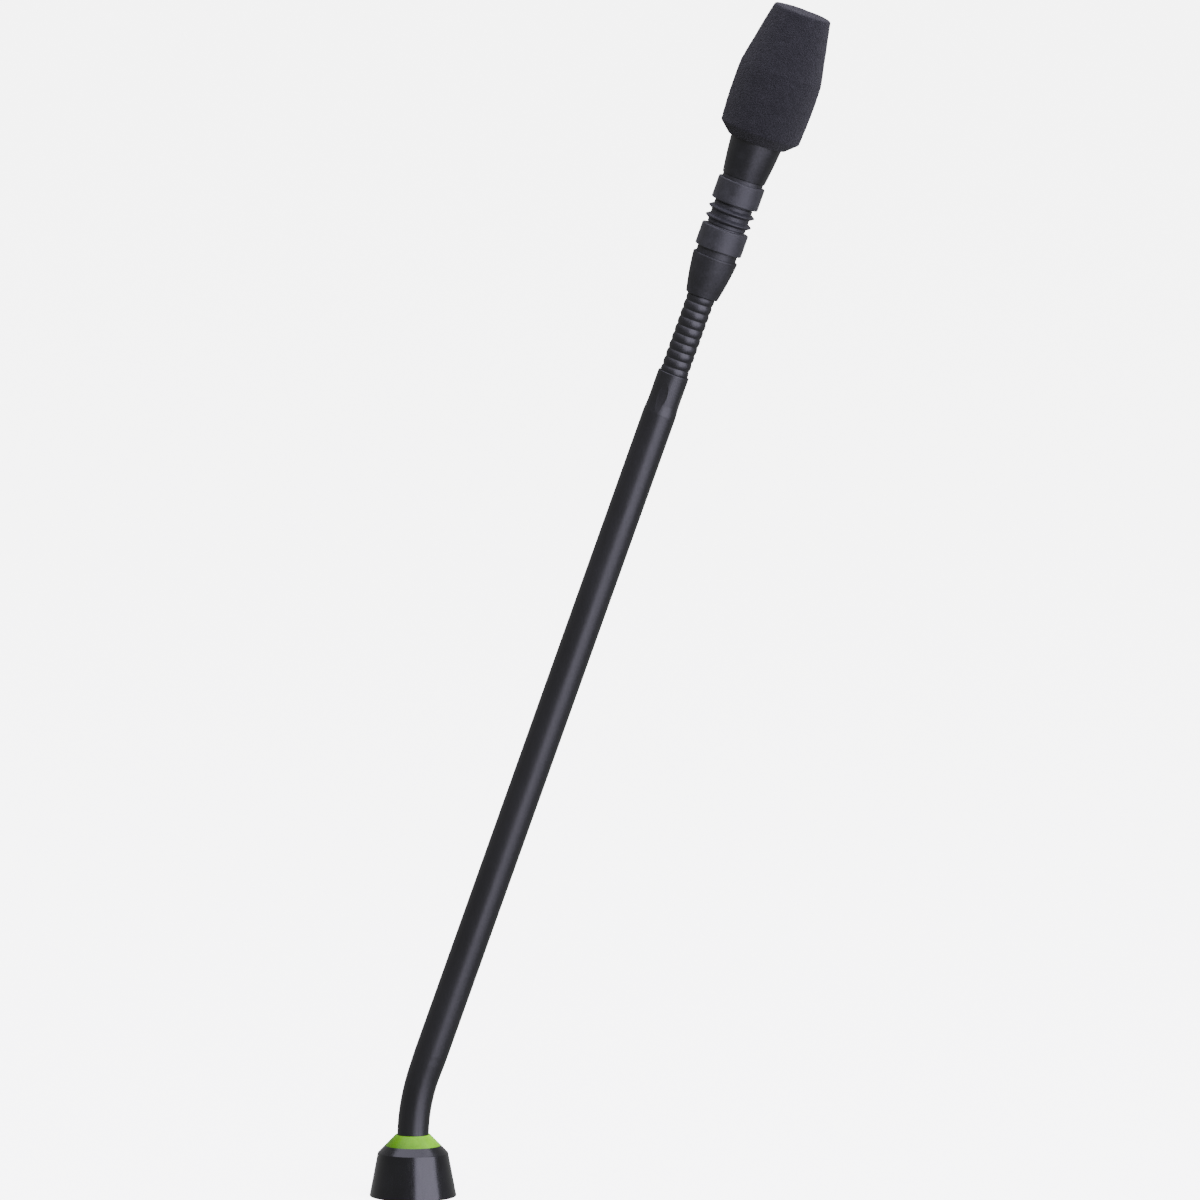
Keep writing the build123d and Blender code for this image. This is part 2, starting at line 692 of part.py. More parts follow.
preamp_bottom = cartridge_bottom + PREAMP_HEIGHT
preamp_top = preamp_bottom + PREAMP_THICKNESS
with BuildPart() as preamp_board:
    with BuildSketch(stem.offset(preamp_bottom)):
        Circle(CARTRIDGE_BORE - SEAT_CLEARANCE)
    extrude(amount=PREAMP_THICKNESS)
finish(preamp_board, "preamp_board")

with BuildPart() as preamp_parts:
    with BuildSketch(stem.offset(preamp_top)):
        with Locations((-3.2, 1.6)):
            Rectangle(3.0, 2.4)
        with Locations((3.4, -2.4)):
            Rectangle(1.6, 3.0)
    extrude(amount=0.9)
    with BuildSketch(stem.offset(preamp_top)):
        with Locations((2.6, 2.6)):
            Circle(1.5)
    extrude(amount=2.6)
finish(preamp_parts, "preamp_parts")

capsule_bottom = preamp_top + LEAD_LENGTH
capsule_top = capsule_bottom + CAPSULE_HEIGHT
with BuildPart() as capsule_leads:
    with BuildSketch(stem.offset(preamp_top)):
        with GridLocations(0, LEAD_SPACING, 1, 2):
            Circle(LEAD_RADIUS)
    extrude(amount=capsule_bottom - preamp_top)
finish(capsule_leads, "capsule_leads")

with BuildPart() as capsule_can:
    turn(
        stem,
        [
            (0, capsule_bottom),
            (CAPSULE_RADIUS, capsule_bottom),
            (CAPSULE_RADIUS, capsule_top),
            (CAN_MOUTH_RADIUS, capsule_top),
            (CAN_MOUTH_RADIUS, capsule_top - CAN_WALL),
            (CAPSULE_RADIUS - CAN_WALL, capsule_top - CAN_WALL),
            (CAPSULE_RADIUS - CAN_WALL, capsule_bottom + CAN_WALL),
            (0, capsule_bottom + CAN_WALL),
        ],
    )
finish(capsule_can, "capsule_can")

backplate_bottom = capsule_bottom + BACKPLATE_HEIGHT
with BuildPart() as backplate:
    with BuildSketch(stem.offset(backplate_bottom)):
        Circle(CAPSULE_RADIUS - CAN_WALL - SEAT_CLEARANCE)
        with PolarLocations(BACKPLATE_CIRCLE, BACKPLATE_HOLES):
            Circle(0.5, mode=Mode.SUBTRACT)
    extrude(amount=BACKPLATE_THICKNESS)
finish(backplate, "backplate")

with BuildPart() as diaphragm:
    with BuildSketch(stem.offset(capsule_top - CAN_WALL - 0.6)):
        Circle(CAPSULE_RADIUS - CAN_WALL - SEAT_CLEARANCE)
    extrude(amount=0.15)
finish(diaphragm, "diaphragm")

gasket_inner = CAPSULE_RADIUS + 0.02
gasket_outer = CARTRIDGE_BORE - 0.02
gasket_bottom = capsule_bottom + 4.5
with BuildPart() as capsule_gasket:
    turn(
        stem,
        [
            (gasket_inner, gasket_bottom),
            (gasket_outer, gasket_bottom),
            (gasket_outer, capsule_top),
            (gasket_inner, capsule_top),
        ],
    )
finish(capsule_gasket, "capsule_gasket")

grille_top = cartridge_top + GRILLE_HEIGHT
grille_skirt = CARTRIDGE_BORE - SEAT_CLEARANCE
with BuildPart() as front_grille:
    turn(
        stem,
        [
            (0, grille_top),
            (CARTRIDGE_RADIUS, grille_top),
            (CARTRIDGE_RADIUS, cartridge_top),
            (grille_skirt, cartridge_top),
            (grille_skirt, cartridge_top - GRILLE_SKIRT),
            (grille_skirt - GRILLE_WALL, cartridge_top - GRILLE_SKIRT),
            (grille_skirt - GRILLE_WALL, grille_top - GRILLE_WALL),
            (0, grille_top - GRILLE_WALL),
        ],
        rounds=[((CARTRIDGE_RADIUS, grille_top), 0.8)],
    )
    with BuildSketch(stem.offset(grille_top)):
        with HexLocations(1.0, GRILLE_HOLE_ROW, GRILLE_HOLE_ROW):
            Circle(GRILLE_HOLE_RADIUS)
    extrude(amount=-GRILLE_WALL, mode=Mode.SUBTRACT)
finish(front_grille, "front_grille")

with BuildPart() as grille_cloth:
    with BuildSketch(stem.offset(grille_top - GRILLE_WALL - 0.35)):
        Circle(grille_skirt - GRILLE_WALL - SEAT_CLEARANCE)
    extrude(amount=0.3)
finish(grille_cloth, "grille_cloth")

# ---------------------------------------------------------------- foam windscreen

foam_pocket_top = grille_top + FOAM_HEADROOM
foam_bevel = (FOAM_BEVEL_RADIUS, foam_bottom + FOAM_BEVEL_HEIGHT)
with BuildPart() as windscreen:
    turn(
        stem,
        [
            (0, foam_top),
            (0, foam_pocket_top),
            (FOAM_BORE, foam_pocket_top),
            (FOAM_BORE, foam_bottom),
            (FOAM_BOTTOM_RADIUS, foam_bottom),
            foam_bevel,
            (FOAM_TAPER_RADIUS, foam_bottom + FOAM_TAPER_HEIGHT),
            (FOAM_TOP_RADIUS, foam_top),
        ],
        rounds=[((FOAM_TOP_RADIUS, foam_top), FOAM_TOP_ROUND)],
        bows=[(foam_bevel, (FOAM_WIDEST_RADIUS, foam_bottom + FOAM_WIDEST_HEIGHT))],
    )
finish(windscreen, "windscreen")

# ---------------------------------------------------------------- wire from the plug to the cartridge

with BuildPart() as wire:
    with BuildSketch(Plane.XY.offset(bend_bottom)):
        Circle(WIRE_RADIUS)
    extrude(amount=WIRE_BOTTOM - bend_bottom)
    with BuildSketch(Plane.XY.offset(bend_bottom)):
        Circle(WIRE_RADIUS)
    revolve(axis=bend_axis, revolution_arc=LEAN)
    with BuildSketch(stem):
        Circle(WIRE_RADIUS)
    extrude(amount=preamp_bottom)
finish(wire, "wire")
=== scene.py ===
"""Looks of the gooseneck podium microphone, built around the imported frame."""
import bpy
import json
import math
import numpy as np
from mathutils import Matrix, Vector, noise


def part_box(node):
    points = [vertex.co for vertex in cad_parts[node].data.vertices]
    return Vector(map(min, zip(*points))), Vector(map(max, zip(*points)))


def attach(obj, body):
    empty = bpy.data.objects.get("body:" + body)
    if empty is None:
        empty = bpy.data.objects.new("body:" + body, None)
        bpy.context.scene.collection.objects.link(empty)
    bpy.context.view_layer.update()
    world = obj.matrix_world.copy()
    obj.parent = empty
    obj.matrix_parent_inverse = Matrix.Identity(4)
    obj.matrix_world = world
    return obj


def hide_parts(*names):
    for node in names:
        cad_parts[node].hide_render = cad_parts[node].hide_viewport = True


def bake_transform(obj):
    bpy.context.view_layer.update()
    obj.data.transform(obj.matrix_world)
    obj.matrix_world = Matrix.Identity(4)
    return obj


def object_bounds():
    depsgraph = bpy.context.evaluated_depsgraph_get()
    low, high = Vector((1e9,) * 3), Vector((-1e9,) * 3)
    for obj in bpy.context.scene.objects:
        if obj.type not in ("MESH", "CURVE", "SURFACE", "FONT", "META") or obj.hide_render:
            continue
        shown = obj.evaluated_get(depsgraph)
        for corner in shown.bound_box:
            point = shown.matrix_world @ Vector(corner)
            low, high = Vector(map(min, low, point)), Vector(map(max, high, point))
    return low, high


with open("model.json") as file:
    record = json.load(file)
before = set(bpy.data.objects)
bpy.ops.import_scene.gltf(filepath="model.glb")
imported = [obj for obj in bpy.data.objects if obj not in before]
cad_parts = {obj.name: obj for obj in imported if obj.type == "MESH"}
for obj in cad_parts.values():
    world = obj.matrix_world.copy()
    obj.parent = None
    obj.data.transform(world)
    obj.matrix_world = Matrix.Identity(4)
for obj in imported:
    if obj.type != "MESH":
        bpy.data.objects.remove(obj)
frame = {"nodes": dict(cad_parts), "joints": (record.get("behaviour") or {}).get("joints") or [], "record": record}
first_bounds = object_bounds()

MM = 0.001
joints = {joint["name"]: joint for joint in frame["joints"]}
slots = {part["node"]: part["material_slot"] for part in frame["record"]["subparts"]}


# ---------------------------------------------------------------- where things are, read from the frame

def hinge(name):
    """Middle of a hinge in the row frame."""
    return Vector(joints[name]["pos_m"])


def lower_hinge(index):
    kind = "swing" if index % 2 else "bend"
    return hinge(f"lower_{kind}_{index // 2 + 1}")


def upper_hinge(index):
    kind = "swing" if index % 2 else "bend"
    return hinge(f"upper_{kind}_{index // 2 + 1}")


LOWER_COUNT = sum(name.startswith("lower_") for name in joints)
UPPER_COUNT = sum(name.startswith("upper_") for name in joints)

stem_foot = lower_hinge(LOWER_COUNT - 1)
stem_up = Vector(joints["windscreen_pull"]["axis"]).normalized()
back = Vector((0, 1, 0))
stem_across = back.cross(stem_up)

lower_pitch = (lower_hinge(1) - lower_hinge(0)).length
upper_pitch = (upper_hinge(1) - upper_hinge(0)).length
lean = math.atan2(stem_up.x, stem_up.z)
bend_radius = lower_pitch / math.tan(lean / LOWER_COUNT)
bend_length = bend_radius * lean
bend_bottom = lower_hinge(0) - Vector((0, 0, lower_pitch))


def height_on_stem(point):
    return (Vector(point) - stem_foot).dot(stem_up)


def reach(node):
    """Lowest and highest point of a CAD node along the stem, and its largest radius about the stem."""
    mesh = frame["nodes"][node].data
    points = np.empty(len(mesh.vertices) * 3)
    mesh.vertices.foreach_get("co", points)
    points = points.reshape(-1, 3) - np.array(stem_foot)
    heights = points @ np.array(stem_up)
    radii = np.linalg.norm(points - np.outer(heights, stem_up), axis=1)
    return heights.min(), heights.max(), radii.max()


def centre_line(distance):
    """Point and upward direction of the lower bend's centre line, by length from where it starts."""
    along = min(max(distance, 0), bend_length)
    angle = along / bend_radius
    up = Vector((math.sin(angle), 0, math.cos(angle)))
    turn = Vector((1 - math.cos(angle), 0, math.sin(angle))) * bend_radius
    return bend_bottom + turn + up * (distance - along), up


def stem_line(distance):
    """Point and upward direction on the straight line of the stem."""
    return stem_foot + stem_up * distance, stem_up


def upright_line(distance):
    """Point and upward direction on the base's own axis."""
    return Vector((0, 0, distance)), Vector((0, 0, 1))


# ---------------------------------------------------------------- mesh helpers

def rounded(corners, steps=5):
    """Outline of (height, radius) points from (height, radius, rounding) corners."""
    outline = []
    for index, (height, radius, rounding) in enumerate(corners):
        corner = Vector((height, radius))
        if not rounding:
            outline.append(corner)
            continue
        before = Vector(corners[index - 1][:2]) - corner
        after = Vector(corners[(index + 1) % len(corners)][:2]) - corner
        half = before.angle(after) / 2
        reach_back = rounding / math.tan(half)
        start = corner + before.normalized() * reach_back
        end = corner + after.normalized() * reach_back
        centre = corner + (before.normalized() + after.normalized()).normalized() * rounding / math.sin(half)
        spoke_start = start - centre
        spoke_end = end - centre
        sweep = spoke_start.angle_signed(spoke_end)
        for step in range(steps + 1):
            turned = Matrix.Rotation(-sweep * step / steps, 2) @ spoke_start
            outline.append(centre + turned)
    return [(point.x, point.y) for point in outline]


def turned_mesh(name, line, outline, segments=96, closed=True):
    """Mesh turned about a line: outline is (distance along the line, radius) points in metres."""
    vertices = []
    for distance, radius in outline:
        point, up = line(distance)
        across = back.cross(up)
        for segment in range(segments):
            angle = 2 * math.pi * segment / segments
            spoke = across * math.cos(angle) + back * math.sin(angle)
            vertices.append(point + spoke * radius)
    faces = []
    rings = len(outline)
    for ring in range(rings if closed else rings - 1):
        low = ring * segments
        high = (ring + 1) % rings * segments
        for segment in range(segments):
            nearby = (segment + 1) % segments
            faces.append((low + segment, low + nearby, high + nearby, high + segment))
    mesh = bpy.data.meshes.new(name)
    mesh.from_pydata(vertices, [], faces)
    mesh.validate()
    piece = bpy.data.objects.new(name, mesh)
    bpy.context.scene.collection.objects.link(piece)
    smooth(piece)
    return piece


def smooth(piece, crease=40):
    piece.data.shade_smooth()
    piece.data.set_sharp_from_angle(angle=math.radians(crease))


def paint(piece, material):
    """Give a piece its material."""
    piece.data.materials.clear()
    piece.data.materials.append(material)


# ---------------------------------------------------------------- materials

class Shader:
    """A node material under construction, with one Principled surface."""

    def __init__(self, name):
        self.material = bpy.data.materials.new(name)
        self.material.use_nodes = True
        self.tree = self.material.node_tree
        self.tree.nodes.clear()
        self.place = self.node("ShaderNodeTexCoord").outputs["Object"]
        self.surface = self.node("ShaderNodeBsdfPrincipled")
        output = self.node("ShaderNodeOutputMaterial")
        self.tree.links.new(self.surface.outputs["BSDF"], output.inputs["Surface"])

    def node(self, kind, **settings):
        made = self.tree.nodes.new(kind)
        for key, value in settings.items():
            setattr(made, key, value)
        return made

    def put(self, socket, value):
        """Link an output to a socket, or set the socket to a value."""
        if isinstance(value, bpy.types.NodeSocket):
            self.tree.links.new(value, socket)
        else:
            socket.default_value = value

    def set(self, **inputs):
        """Set inputs of the surface: base_color sets Base Color."""
        for key, value in inputs.items():
            words = {"ior": "IOR", "specular": "Specular IOR Level"}.get(key)
            self.put(self.surface.inputs[words or key.replace("_", " ").title()], value)

    def noise(self, scale, detail=3, roughness=0.55, place=None):
        texture = self.node("ShaderNodeTexNoise")
        self.put(texture.inputs["Vector"], place or self.place)
        self.put(texture.inputs["Scale"], scale)
        self.put(texture.inputs["Detail"], detail)
        self.put(texture.inputs["Roughness"], roughness)
        return texture.outputs["Fac"]

    def cells(self, scale, feature="F1"):
        texture = self.node("ShaderNodeTexVoronoi", feature=feature)
        self.put(texture.inputs["Vector"], self.place)
        self.put(texture.inputs["Scale"], scale)
        return texture.outputs["Distance"]

    def spread(self, value, low, high, start=0.3, end=0.7):
        """A 0 to 1 texture value mapped to the range from low to high."""
        made = self.node("ShaderNodeMapRange")
        self.put(made.inputs["Value"], value)
        self.put(made.inputs["From Min"], start)
        self.put(made.inputs["From Max"], end)
        self.put(made.inputs["To Min"], low)
        self.put(made.inputs["To Max"], high)
        return made.outputs["Result"]

    def blend(self, factor, first, second):
        made = self.node("ShaderNodeMix", data_type="RGBA")
        self.put(made.inputs[0], factor)
        self.put(made.inputs[6], first)
        self.put(made.inputs[7], second)
        return made.outputs[2]

    def math(self, operation, first, second):
        made = self.node("ShaderNodeMath", operation=operation)
        self.put(made.inputs[0], first)
        self.put(made.inputs[1], second)
        return made.outputs[0]

    def bump(self, height, distance, below=None):
        made = self.node("ShaderNodeBump")
        self.put(made.inputs["Height"], height)
        self.put(made.inputs["Distance"], distance)
        self.put(made.inputs["Strength"], 1.0)
        if below is not None:
            self.put(made.inputs["Normal"], below)
        return made.outputs["Normal"]

    def stretched(self, axis, factor):
        """Coordinates squeezed along an axis, so that a texture runs in streaks along it."""
        up = Vector(axis).normalized()
        made = self.node("ShaderNodeMapping", vector_type="POINT")
        self.put(made.inputs["Vector"], self.place)
        turn = up.rotation_difference(Vector((0, 0, 1))).to_euler()
        made.inputs["Rotation"].default_value = turn
        made.inputs["Scale"].default_value = (1, 1, factor)
        return made.outputs["Vector"]


def grey(value, blue=0.0):
    return (value, value, value * (1 + blue), 1)


def satin_coat(name, colour, roughness, axis):
    """Smooth satin black coat: faint orange peel, long rub streaks and dust."""
    shader = Shader(name)
    peel = shader.noise(900, 2)
    streaks = shader.noise(2200, 3, place=shader.stretched(axis, 0.03))
    dust = shader.noise(6000, 2, 0.7)
    patches = shader.noise(45, 4)
    dark = tuple(channel * 0.7 for channel in colour[:3]) + (1,)
    dusty = shader.spread(dust, 0, 0.25, 0.62, 0.78)
    base = shader.blend(shader.spread(patches, 0, 1), dark, colour)
    shader.set(base_color=shader.blend(dusty, base, grey(0.05, 0.1)))
    rough = shader.spread(streaks, roughness - 0.04, roughness + 0.05)
    shader.set(roughness=shader.math("ADD", rough, shader.spread(patches, -0.03, 0.04)))
    fine = shader.bump(dust, 0.000003)
    shader.set(normal=shader.bump(peel, 0.00002, fine), specular=0.5)
    return shader.material


def gloss_plastic(name):
    """Polished black moulding: deep gloss, faint ripple, hairline scratches and specks of dust."""
    shader = Shader(name)
    ripple = shader.noise(160, 2)
    scratch = shader.noise(1500, 3, place=shader.stretched((1, 0.3, 0.2), 0.01))
    dust = shader.noise(7000, 2, 0.8)
    base = shader.blend(shader.spread(ripple, 0, 1), grey(0.004, 0.15), grey(0.007, 0.15))
    shader.set(base_color=shader.blend(shader.spread(dust, 0, 0.3, 0.68, 0.8), base, grey(0.12)))
    shader.set(roughness=shader.spread(scratch, 0.2, 0.3, 0.4, 0.75))
    shader.set(normal=shader.bump(ripple, 0.00002), specular=0.44)
    shader.set(coat_weight=0.06, coat_roughness=0.05)
    return shader.material


def matte_anodised(name, colour, roughness):
    """Bead-blasted, black anodised metal: fine grain, soft sheen, slight wear."""
    shader = Shader(name)
    grain = shader.noise(9000, 2, 0.8)
    rings = shader.noise(5200, 1, place=shader.stretched(stem_up, 6))
    wear = shader.noise(260, 5, 0.65)
    light = tuple(channel * 2.2 for channel in colour[:3]) + (1,)
    shader.set(base_color=shader.blend(shader.spread(wear, 0, 1, 0.45, 0.75), colour, light))
    shader.set(roughness=shader.spread(grain, roughness - 0.05, roughness + 0.08))
    shader.set(normal=shader.bump(grain, 0.000012, shader.bump(rings, 0.000004)))
    shader.set(specular=0.45)
    return shader.material


def moulded_rubber(name, colour, roughness):
    """Moulded rubber: dull bloom, fine pebble and darker handled patches."""
    shader = Shader(name)
    pebble = shader.cells(5200)
    fine = shader.noise(11000, 2, 0.7)
    bloom = shader.noise(320, 4, 0.6)
    pale = tuple(channel * 1.7 for channel in colour[:3]) + (1,)
    shader.set(base_color=shader.blend(shader.spread(bloom, 0, 1, 0.35, 0.7), colour, pale))
    shader.set(roughness=shader.spread(bloom, roughness - 0.06, roughness + 0.06))
    shader.set(normal=shader.bump(pebble, 0.000018, shader.bump(fine, 0.00001)))
    shader.set(specular=0.45, sheen_weight=0.04, sheen_roughness=0.5)
    return shader.material


def open_foam(name):
    """Open-cell foam: pores darkened with painted shade between fine bright cell walls, with soft fuzz."""
    shader = Shader(name)
    cells = shader.cells(2300, "F1")
    fine = shader.noise(5200, 3, 0.75)
    patches = shader.noise(420, 4, 0.6)
    # painted shade: the pores, which the bump sinks in, take a darker colour than the cell walls
    pores = shader.math("MULTIPLY", shader.spread(cells, 0, 1, 0.15, 0.75), shader.spread(fine, 0.3, 1))
    wall = shader.blend(shader.spread(patches, 0, 1), (0.015, 0.0145, 0.0168, 1), (0.024, 0.0232, 0.0265, 1))
    shader.set(base_color=shader.blend(pores, wall, (0.007, 0.0067, 0.0078, 1)))
    shader.set(roughness=shader.spread(fine, 0.8, 0.98))
    shader.set(normal=shader.bump(cells, -0.00022, shader.bump(fine, 0.00012)))
    shader.set(specular=0.12, sheen_weight=0.08, sheen_roughness=0.6)
    return shader.material


def glowing_plastic(name):
    """Milky green plastic lit from inside; its glow and colour are painted brighter to the right, where the key
    light falls, and darker towards the bottom.
    """
    shader = Shader(name)
    cloud = shader.noise(420, 3)
    fine = shader.noise(3000, 2)
    split = shader.node("ShaderNodeSeparateXYZ")
    shader.put(split.inputs[0], shader.place)
    low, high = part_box("light_ring")
    # painted light: a painted highlight on the right, where the key light falls, fading darker towards the bottom,
    # in both glow and colour
    side = shader.spread(split.outputs["X"], 0.35, 1.0, low.x, high.x * 0.7)
    darker_towards_bottom = shader.spread(split.outputs["Z"], 0.75, 1.0, low.z, high.z)
    glow = shader.math("MULTIPLY", shader.math("MULTIPLY", side, darker_towards_bottom), shader.spread(cloud, 0.9, 1.05))
    glow_tint_with_painted_light = shader.blend(glow, (0.07, 0.2, 0.0, 1), (0.36, 0.95, 0.01, 1))
    shader.set(base_color=shader.blend(glow, (0.01, 0.04, 0.001, 1), (0.03, 0.1, 0.004, 1)))
    shader.set(emission_color=glow_tint_with_painted_light, emission_strength=shader.math("MULTIPLY", glow, 1.15))
    shader.set(roughness=shader.spread(fine, 0.22, 0.34), subsurface_weight=0.3, subsurface_scale=0.002)
    shader.set(normal=shader.bump(fine, 0.000005), specular=0.15)
    return shader.material


def turned_metal(name, colour, roughness):
    """Turned metal: fine tool rings about the axis and small scuffs."""
    shader = Shader(name)
    rings = shader.noise(4200, 2, place=shader.stretched(stem_up, 8))
    scuff = shader.noise(700, 4, 0.7)
    dark = tuple(channel * 0.6 for channel in colour[:3]) + (1,)
    shader.set(base_color=shader.blend(shader.spread(scuff, 0, 1, 0.4, 0.65), colour, dark))
    shader.set(metallic=1.0, roughness=shader.spread(scuff, roughness - 0.06, roughness + 0.1))
    shader.set(normal=shader.bump(rings, 0.000008))
    return shader.material


def plain_plastic(name, colour, roughness):
    """Small moulded plastic piece with a fine grain."""
    shader = Shader(name)
    grain = shader.noise(4800, 3, 0.7)
    shade = tuple(channel * 0.7 for channel in colour[:3]) + (1,)
    shader.set(base_color=shader.blend(shader.spread(grain, 0, 1), colour, shade))
    shader.set(roughness=shader.spread(grain, roughness - 0.05, roughness + 0.08))
    shader.set(normal=shader.bump(grain, 0.00001))
    return shader.material


def circuit_board(name):
    """Green solder mask over copper tracks."""
    shader = Shader(name)
    tracks = shader.cells(900, "DISTANCE_TO_EDGE")
    grain = shader.noise(5000, 2)
    on_track = shader.spread(tracks, 1, 0, 0.02, 0.08)
    shader.set(base_color=shader.blend(on_track, (0.01, 0.06, 0.03, 1), (0.04, 0.16, 0.07, 1)))
    shader.set(roughness=shader.spread(grain, 0.3, 0.45), normal=shader.bump(tracks, 0.00002))
    return shader.material


def woven_cloth(name):
    """Fine acoustic cloth with crossed threads."""
    shader = Shader(name)
    weft = shader.node("ShaderNodeTexWave", bands_direction="X")
    warp = shader.node("ShaderNodeTexWave", bands_direction="Y")
    for wave in (weft, warp):
        shader.put(wave.inputs["Vector"], shader.place)
        shader.put(wave.inputs["Scale"], 900)
    weave = shader.math("MULTIPLY", weft.outputs["Fac"], warp.outputs["Fac"])
    shader.set(base_color=shader.blend(weave, grey(0.008), grey(0.04, 0.1)))
    shader.set(roughness=0.95, normal=shader.bump(weave, 0.00005))
    return shader.material


BLACK = grey(0.008, 0.12)
materials = {
    "cone_gloss": gloss_plastic("cone_gloss"),
    "ring_green": glowing_plastic("ring_green"),
    "board": circuit_board("board"),
    "lamp": plain_plastic("lamp", (0.8, 0.85, 0.5, 1), 0.3),
    "plated_metal": turned_metal("plated_metal", (0.5, 0.5, 0.52, 1), 0.3),
    "insert_plastic": plain_plastic("insert_plastic", grey(0.02), 0.5),
    "gold_contact": turned_metal("gold_contact", (0.75, 0.52, 0.2, 1), 0.25),
    "steel": turned_metal("steel", (0.35, 0.35, 0.37, 1), 0.35),
    "sleeve_satin": satin_coat("sleeve_satin", BLACK, 0.4, (0, 0, 1)),
    "stem_satin": satin_coat("stem_satin", BLACK, 0.4, stem_up),
    "flex_black": satin_coat("flex_black", BLACK, 0.42, stem_across),
    "wire_jacket": plain_plastic("wire_jacket", grey(0.03), 0.6),
    "ferrule_black": matte_anodised("ferrule_black", grey(0.009, 0.12), 0.5),
    "rubber_dark": moulded_rubber("rubber_dark", grey(0.013, 0.15), 0.5),
    "cartridge_black": matte_anodised("cartridge_black", grey(0.006, 0.15), 0.38),
    "bright_metal": turned_metal("bright_metal", (0.65, 0.65, 0.67, 1), 0.3),
    "film": turned_metal("film", (0.7, 0.55, 0.3, 1), 0.2),
    "cloth": woven_cloth("cloth"),
    "foam": open_foam("foam"),
}

for node, piece in frame["nodes"].items():
    paint(piece, materials[slots[node]])


# ---------------------------------------------------------------- pieces along a flexible section

def bending_tubes(name, line, limits, centres, outline_at, slot_name, replaced, rings=8, segments=96):
    """One tube for each hinge, from the middle of a link to the middle of the next, made in place and not tied to
    the hinges.

    limits are the pieces' ends and centres the hinges' places along the line; outline_at gives the outer
    and inner radius at a distance along it.
    """
    half = (centres[1] - centres[0]) / 2
    for index, centre in enumerate(centres):
        low, high = limits[index], limits[index + 1]
        marks = [low + (high - low) * ring / rings for ring in range(rings + 1)]
        outline = [(mark, outline_at(mark)[0]) for mark in marks]
        outline += [(mark, outline_at(mark)[1]) for mark in reversed(marks)]
        piece = turned_mesh(f"{name}_{index + 1}", line, outline, segments)
        paint(piece, materials[slot_name])
        start = line(centre - half)[0]
        end = line(centre + half)[0]
        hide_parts(*replaced(index))
        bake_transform(piece)


def between(centres, bottom, top):
    """Ends of the bending pieces: the middles between the hinges, with the given first and last end."""
    return [bottom] + [(low + high) / 2 for low, high in zip(centres, centres[1:])] + [top]


SLEEVE_STEP = 0.05 * MM         # the sleeve ends this much inside the stem's surface
SLEEVE_WALL = 0.35 * MM
SLEEVE_FLARE = 4                # the higher, the nearer to the stem the sleeve widens

lower_centres = [(index + 1) * bend_length / LOWER_COUNT for index in range(LOWER_COUNT)]
upper_centres = [height_on_stem(upper_hinge(index)) for index in range(UPPER_COUNT)]

stem_bottom, stem_top, stem_radius = reach("stem_tube")
sleeve_low, sleeve_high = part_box("lower_sleeve")
sleeve_bottom = sleeve_low.z - bend_bottom.z
sleeve_top = bend_length + stem_bottom
sleeve_foot_radius = -sleeve_low.x
sleeve_top_radius = stem_radius - SLEEVE_STEP


def sleeve_outline(distance):
    """Outer and inner radius of the sleeve, which widens to the stem just below it."""
    share = min(max(distance / sleeve_top, 0), 1)
    outer = sleeve_foot_radius + (sleeve_top_radius - sleeve_foot_radius) * share ** SLEEVE_FLARE
    return outer, outer - SLEEVE_WALL


bending_tubes(
    "sleeve", centre_line, between(lower_centres, sleeve_bottom, sleeve_top), lower_centres,
    sleeve_outline, "sleeve_satin", lambda index: ["lower_sleeve"],
)

rib_crest = reach("upper_link_1")[2]
rib_half = upper_pitch / 2
RIB_ROUNDING = 3.2 * MM
RIB_WALL = 0.5 * MM
rib_depth = RIB_ROUNDING - math.sqrt(RIB_ROUNDING ** 2 - rib_half ** 2)


def rib_outline(distance):
    """Outer and inner radius of the ribbed skin, with a valley at each hinge and a round crest between."""
    from_crest = (distance - upper_centres[0]) % upper_pitch - rib_half
    drop = RIB_ROUNDING - math.sqrt(RIB_ROUNDING ** 2 - from_crest ** 2)
    return rib_crest - drop, rib_crest - rib_depth - RIB_WALL


ferrule_bottom = reach("taper_ferrule")[0]
TUCK_IN_STEM = 0.2 * MM         # how far the ribbed skin reaches into the stem and the ferrule
TUCK_IN_FERRULE = 0.6 * MM
upper_limits = between(upper_centres, stem_top - TUCK_IN_STEM, ferrule_bottom + TUCK_IN_FERRULE)
bending_tubes(
    "rib", stem_line, upper_limits, upper_centres, rib_outline, "flex_black",
    lambda index: [f"upper_link_{min(index + 1, UPPER_COUNT - 1)}"], rings=20, segments=128,
)

WIRE_CORE = 0.05                # radius of the fine hole in the wire, as a share of the wire's
WIRE_SEGMENTS = 24
wire_radius = (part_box("wire")[1].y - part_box("wire")[0].y) / 2


def wire_outline(distance):
    """Radius of the wire, with a fine core so that the tube closes."""
    return wire_radius, wire_radius * WIRE_CORE


wire_lower = between(lower_centres, 0.5 * lower_centres[0], bend_length + 0.5 * lower_centres[0])
wire_upper = between(upper_centres, upper_centres[0] - rib_half, upper_centres[-1] + rib_half)
bending_tubes(
    "wire_lower", centre_line, wire_lower, lower_centres, wire_outline, "wire_jacket",
    lambda index: ["wire"], segments=WIRE_SEGMENTS,
)
bending_tubes(
    "wire_upper", stem_line, wire_upper, upper_centres, wire_outline, "wire_jacket",
    lambda index: ["wire"], segments=WIRE_SEGMENTS,
)


def straight_wire(name, line, bottom, top, body):
    """A straight run of the wire, carried by one body."""
    core = wire_radius * WIRE_CORE
    outline = [(bottom, wire_radius), (top, wire_radius), (top, core), (bottom, core)]
    piece = turned_mesh(name, line, outline, WIRE_SEGMENTS)
    paint(piece, materials["wire_jacket"])
    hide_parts("wire")
    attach(piece, body)


